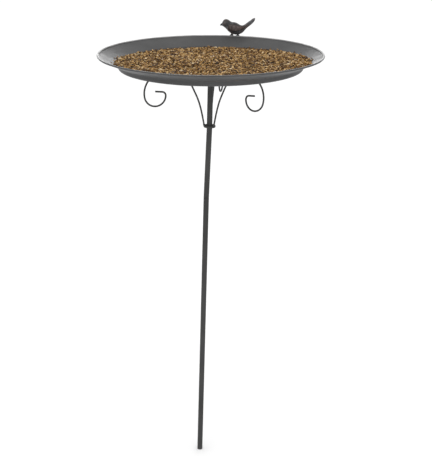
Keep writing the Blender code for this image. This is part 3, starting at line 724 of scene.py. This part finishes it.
def make_bird_body(coat):
    rows = smooth_rows(SECTIONS, 5)
    sides = BODY_SIDES
    points, relief = [], []
    for along, low, high, half in rows:
        tall = (high - low) / 2
        girth = math.pi * (half + tall)
        head = np.clip((along - 10.0) / 4.0, 0, 1)
        tail = np.clip((-14.0 - along) / 4.0, 0, 1)
        for i in range(sides):
            angle = math.tau * i / sides
            power = 1 / BODY_SQUARENESS
            across = math.copysign(abs(math.cos(angle)) ** power, math.cos(angle))
            upward = math.copysign(abs(math.sin(angle)) ** power, math.sin(angle))
            feathers = plumage(along, angle, girth)
            quills = 0.42 * abs(math.sin(angle * 4)) ** 0.7
            down = 0.10 + 0.10 * math.sin(along * 5.1 + 3 * math.sin(6 * angle)) * math.cos(11 * angle)
            raised = (feathers * (1 - head) + down * head) * (1 - tail) + quills * tail
            outward = 1 + (raised - 0.25) / max(half, tall)
            points.append((along, half * across * outward, (low + high) / 2 + tall * upward * outward))
            height = (low + high) / 2 + tall * upward
            cheek = math.exp(-((along - 15.6) / 1.5) ** 2 - ((height - 19.6) / 1.5) ** 2)
            belly = np.clip((9.0 - height) / 5.0, 0, 1)
            breast = math.exp(-((along - 10.4) / 1.6) ** 2 - ((height - 12.6) / 2.8) ** 2)
            relief.append(min(1.0, 0.20 + raised * 1.2 + 0.30 * head + 0.25 * tail
                                  + 0.30 * belly + 0.50 * max(cheek, breast)))
    faces = []
    for k in range(len(rows) - 1):
        for i in range(sides):
            j = (i + 1) % sides
            faces.append((k * sides + i, k * sides + j, (k + 1) * sides + j, (k + 1) * sides + i))
    faces.append(tuple(range(sides))[::-1])
    faces.append(tuple((len(rows) - 1) * sides + i for i in range(sides)))
    bird_piece("bird_body", points, faces, coat, relief)


def make_wing(side, coat):
    """Folded wing: rounded coverts in front and long overlapping quills behind, as one closed shell."""
    upper = smooth_rows(WING_TOP, 9)
    lower = smooth_rows(WING_BOTTOM, 9)
    columns = WING_COLUMNS
    outer, inner, relief = [], [], []
    for u, (top, bottom) in enumerate(zip(upper, lower)):
        share = u / (len(upper) - 1)
        for v in range(columns):
            drop = v / (columns - 1)
            along, height = top * (1 - drop) + bottom * drop
            edge = min(1.0, 6 * min(drop, 1 - drop) + 0.15)
            edge = edge * min(1.0, 9 * share + 0.2, 9 * (1 - share) + 0.2)
            quill = (drop * 5.5 + share * 1.2) % 1.0
            covert_row = (share * 7.0) % 1.0
            covert_cell = (drop * 5 + 0.5 * (int(share * 7) % 2)) % 1.0
            covert = (0.35 + 0.65 * covert_row) * (1 - (2 * covert_cell - 1) ** 2)
            blend = np.clip((share - 0.36) / 0.10, 0, 1)
            raised = covert * (1 - blend) + (1 - quill) ** 0.8 * blend
            out = body_side(along, height) + 0.15 + edge * (0.35 + 0.45 * raised)
            outer.append((along, side * out, height))
            inner.append((along, side * (body_side(along, height) - 0.8), height))
            relief.append(0.12 + 0.75 * raised * edge + 0.12 * edge)
    count = len(outer)
    faces = []
    for u in range(len(upper) - 1):
        for v in range(columns - 1):
            a, b = u * columns + v, u * columns + v + 1
            c, d = b + columns, a + columns
            faces.append((a, b, c, d) if side < 0 else (d, c, b, a))
            faces.append(tuple(count + i for i in ((d, c, b, a) if side < 0 else (a, b, c, d))))
    rim = [u * columns for u in range(len(upper))]
    rim += [(len(upper) - 1) * columns + v for v in range(1, columns)]
    rim += [u * columns + columns - 1 for u in range(len(upper) - 2, -1, -1)]
    rim += list(range(columns - 2, 0, -1))
    for a, b in zip(rim, rim[1:] + rim[:1]):
        faces.append((a, b, count + b, count + a) if side > 0 else (b, a, count + a, count + b))
    name = "bird_wing_left" if side > 0 else "bird_wing_right"
    bird_piece(name, outer + inner, faces, coat, relief + [0.1] * count)


def make_bird_details(dark, pale):
    """Beak, eyes with a pale ring, legs, toes and studs."""
    upper = swept([(18.9, 0, 17.2), (20.4, 0, 16.9), (21.8, 0, 16.1), (22.9, 0, 15.25)],
                  [1.9, 1.35, 0.8, 0.22], 14, 0.8)
    lower = swept([(18.9, 0, 15.6), (20.2, 0, 15.5), (21.4, 0, 15.2), (22.3, 0, 14.95)],
                  [1.3, 0.95, 0.6, 0.2], 14, 0.6)
    bird_piece("bird_beak", *join(upper, lower), dark)
    for side, name in ((1, "left"), (-1, "right")):
        along, height = EYE_PLACE
        centre = Vector((along, side * (body_side(along, height) - 0.35), height))
        outward = Vector((0.35, side * 1.0, 0.12)).normalized()
        turn = Vector((0, 0, 1)).rotation_difference(outward).to_matrix().to_4x4()
        place = Matrix.Translation(centre) @ turn
        dome = [(EYE_RADIUS * math.cos(a), 0.25 + EYE_RADIUS * math.sin(a))
                for a in np.linspace(-0.9, 1.35, 7)]
        ball = [(0.0, -0.6)] + dome + [(0.0, 1.03)]
        bird_piece("bird_eye_" + name, *turned(ball, 18, place), dark)
        ring = [(0.85 + 0.34 * math.cos(a), 0.32 + 0.30 * math.sin(a))
                for a in np.linspace(0, math.tau, 9)[:-1]]
        bird_piece("bird_eye_ring_" + name, *turned(ring, 22, place), pale)
    parts = []
    for along, side in LEGS:
        shin = [(along - 0.4, side, 6.4), (along - 0.1, side, 3.6),
                (along + 0.1, side, 2.0), (along, side, 0.9)]
        parts.append(swept(shin, [2.2, 1.7, 1.45, 1.6], 14))
        for spread, length in TOES:
            ahead = Vector((math.cos(spread), math.sin(spread) * 0.8, 0))
            knuckles = [Vector((along, side, 0.85)) + ahead * length * k - Vector((0, 0, 0.32 * k * k))
                        for k in (0, 0.35, 0.7, 1.0)]
            parts.append(swept(knuckles, [1.15, 1.05, 0.9, 0.4], 10))
        parts.append(turned(STUD, 16, Matrix.Translation((along, side, 0))))
    bird_piece("bird_legs", *join(*parts), dark)


def make_bird():
    slate = bird_material("bird_slate", [(0.30, (0.026, 0.026, 0.027)), (0.52, (0.046, 0.047, 0.049)),
                                         (0.72, (0.085, 0.087, 0.090))], (0.046, 0.036, 0.033))
    brown = bird_material("bird_brown", [(0.30, (0.030, 0.024, 0.022)), (0.52, (0.055, 0.043, 0.040)),
                                         (0.72, (0.085, 0.068, 0.063))], (0.062, 0.042, 0.039))
    dark = bird_material("bird_dark", [(0.3, (0.009, 0.009, 0.010)), (0.7, (0.020, 0.020, 0.021))],
                         (0.014, 0.013, 0.013))
    pale = bird_material("bird_pale", [(0.3, (0.13, 0.13, 0.135)), (0.7, (0.24, 0.24, 0.245))],
                         (0.17, 0.165, 0.165))
    make_bird_body(slate)
    make_wing(1, brown)
    make_wing(-1, brown)
    make_bird_details(dark, pale)


# ---------------------------------------------------------------- solids that stay
ZINC_NODES = ("stem_insert", "steel_washer", "centre_screw", "bird_nut_front", "bird_nut_rear",
              "ground_point")


def dress_solids():
    for node, piece in frame["nodes"].items():
        if piece.hide_render:
            continue
        if node == "rubber_washer":
            coat = rubber("washer_rubber")
        elif node in ZINC_NODES:
            coat = zinc(node + "_zinc")
        else:
            coat = powder_coat(node + "_coat")
        piece.data.materials.clear()
        piece.data.materials.append(coat)


make_dish()
make_arms()
make_collar()
make_seed()
make_bird()
dress_solids()


# ---------------------------------------------------------------- floor, light and camera
HORIZON_GLOW = 0.74
ZENITH_GLOW = 1.34
FLOOR_REACH = 30.0
# place, width, height and power of each softbox; camera rays don't see them
SOFTBOXES = {
    "softbox_left": ((-1.9, 0.3, 1.1), 1.6, 1.6, 3),
    "softbox_right": ((1.9, 0.3, 1.1), 1.6, 1.6, 3),
    "softbox_top": ((-0.4, -0.3, 2.4), 1.2, 1.2, 6),
    "softbox_front": ((0.0, -8.0, 2.6), 14.0, 4.6, 265),
    "softbox_behind": ((0.0, 28.0, 4.5), 32.0, 8.0, 3700),
}
CAMERA_FROM_RIM = Vector((0.0081, -1.545, 0.2735))
CAMERA_PITCH = math.radians(90 - 19.55)     # from straight down
CAMERA_ROLL = math.radians(0.2)
CAMERA_LENS = 83.37


def make_stage():
    floor = bpy.data.meshes.new("floor")
    reach = FLOOR_REACH
    corners = [(-reach, -reach, 0), (reach, -reach, 0), (reach, reach, 0), (-reach, reach, 0)]
    floor.from_pydata(corners, [], [(0, 1, 2, 3)])
    plane = bpy.data.objects.new("floor", floor)
    made = Finish("floor_paper", roughness=0.95, specular=0.1)
    made.colour(made.ramp(made.noise(3.0), [(0.3, (0.79, 0.79, 0.79)), (0.7, (0.81, 0.81, 0.81))]))
    floor.materials.append(made.material)
    bpy.context.scene.collection.objects.link(plane)

    world = bpy.data.worlds.new("studio")
    world.use_nodes = True
    tree = world.node_tree
    tree.nodes["Background"].inputs["Color"].default_value = (1.0, 1.0, 1.0, 1.0)
    split = tree.nodes.new("ShaderNodeSeparateXYZ")
    tree.links.new(tree.nodes.new("ShaderNodeTexCoord").outputs["Generated"], split.inputs["Vector"])
    glow = tree.nodes.new("ShaderNodeMapRange")
    glow.inputs["To Min"].default_value = HORIZON_GLOW
    glow.inputs["To Max"].default_value = ZENITH_GLOW
    tree.links.new(split.outputs["Z"], glow.inputs["Value"])
    tree.links.new(glow.outputs["Result"], tree.nodes["Background"].inputs["Strength"])
    bpy.context.scene.world = world
    for name, (place, width, tall, power) in SOFTBOXES.items():
        light = bpy.data.lights.new(name, "AREA")
        light.shape = "RECTANGLE"
        light.size = width
        light.size_y = tall
        light.energy = power
        lamp = bpy.data.objects.new(name, light)
        lamp.location = place
        lamp.visible_camera = False
        lamp.rotation_mode = "QUATERNION"
        lamp.rotation_quaternion = (RIM - Vector(place)).to_track_quat("-Z", "Y")
        bpy.context.scene.collection.objects.link(lamp)


def make_camera():
    data = bpy.data.cameras.new("camera")
    data.sensor_width = 36.0
    data.lens = CAMERA_LENS
    data.clip_start = 0.05
    data.clip_end = 100.0
    camera = bpy.data.objects.new("camera", data)
    tilt = Matrix.Rotation(CAMERA_PITCH, 4, "X") @ Matrix.Rotation(CAMERA_ROLL, 4, "Z")
    camera.matrix_world = Matrix.Translation(RIM + CAMERA_FROM_RIM) @ tilt
    bpy.context.scene.collection.objects.link(camera)
    bpy.context.scene.camera = camera


make_stage()
make_camera()
bpy.context.scene.view_settings.view_transform = "Standard"
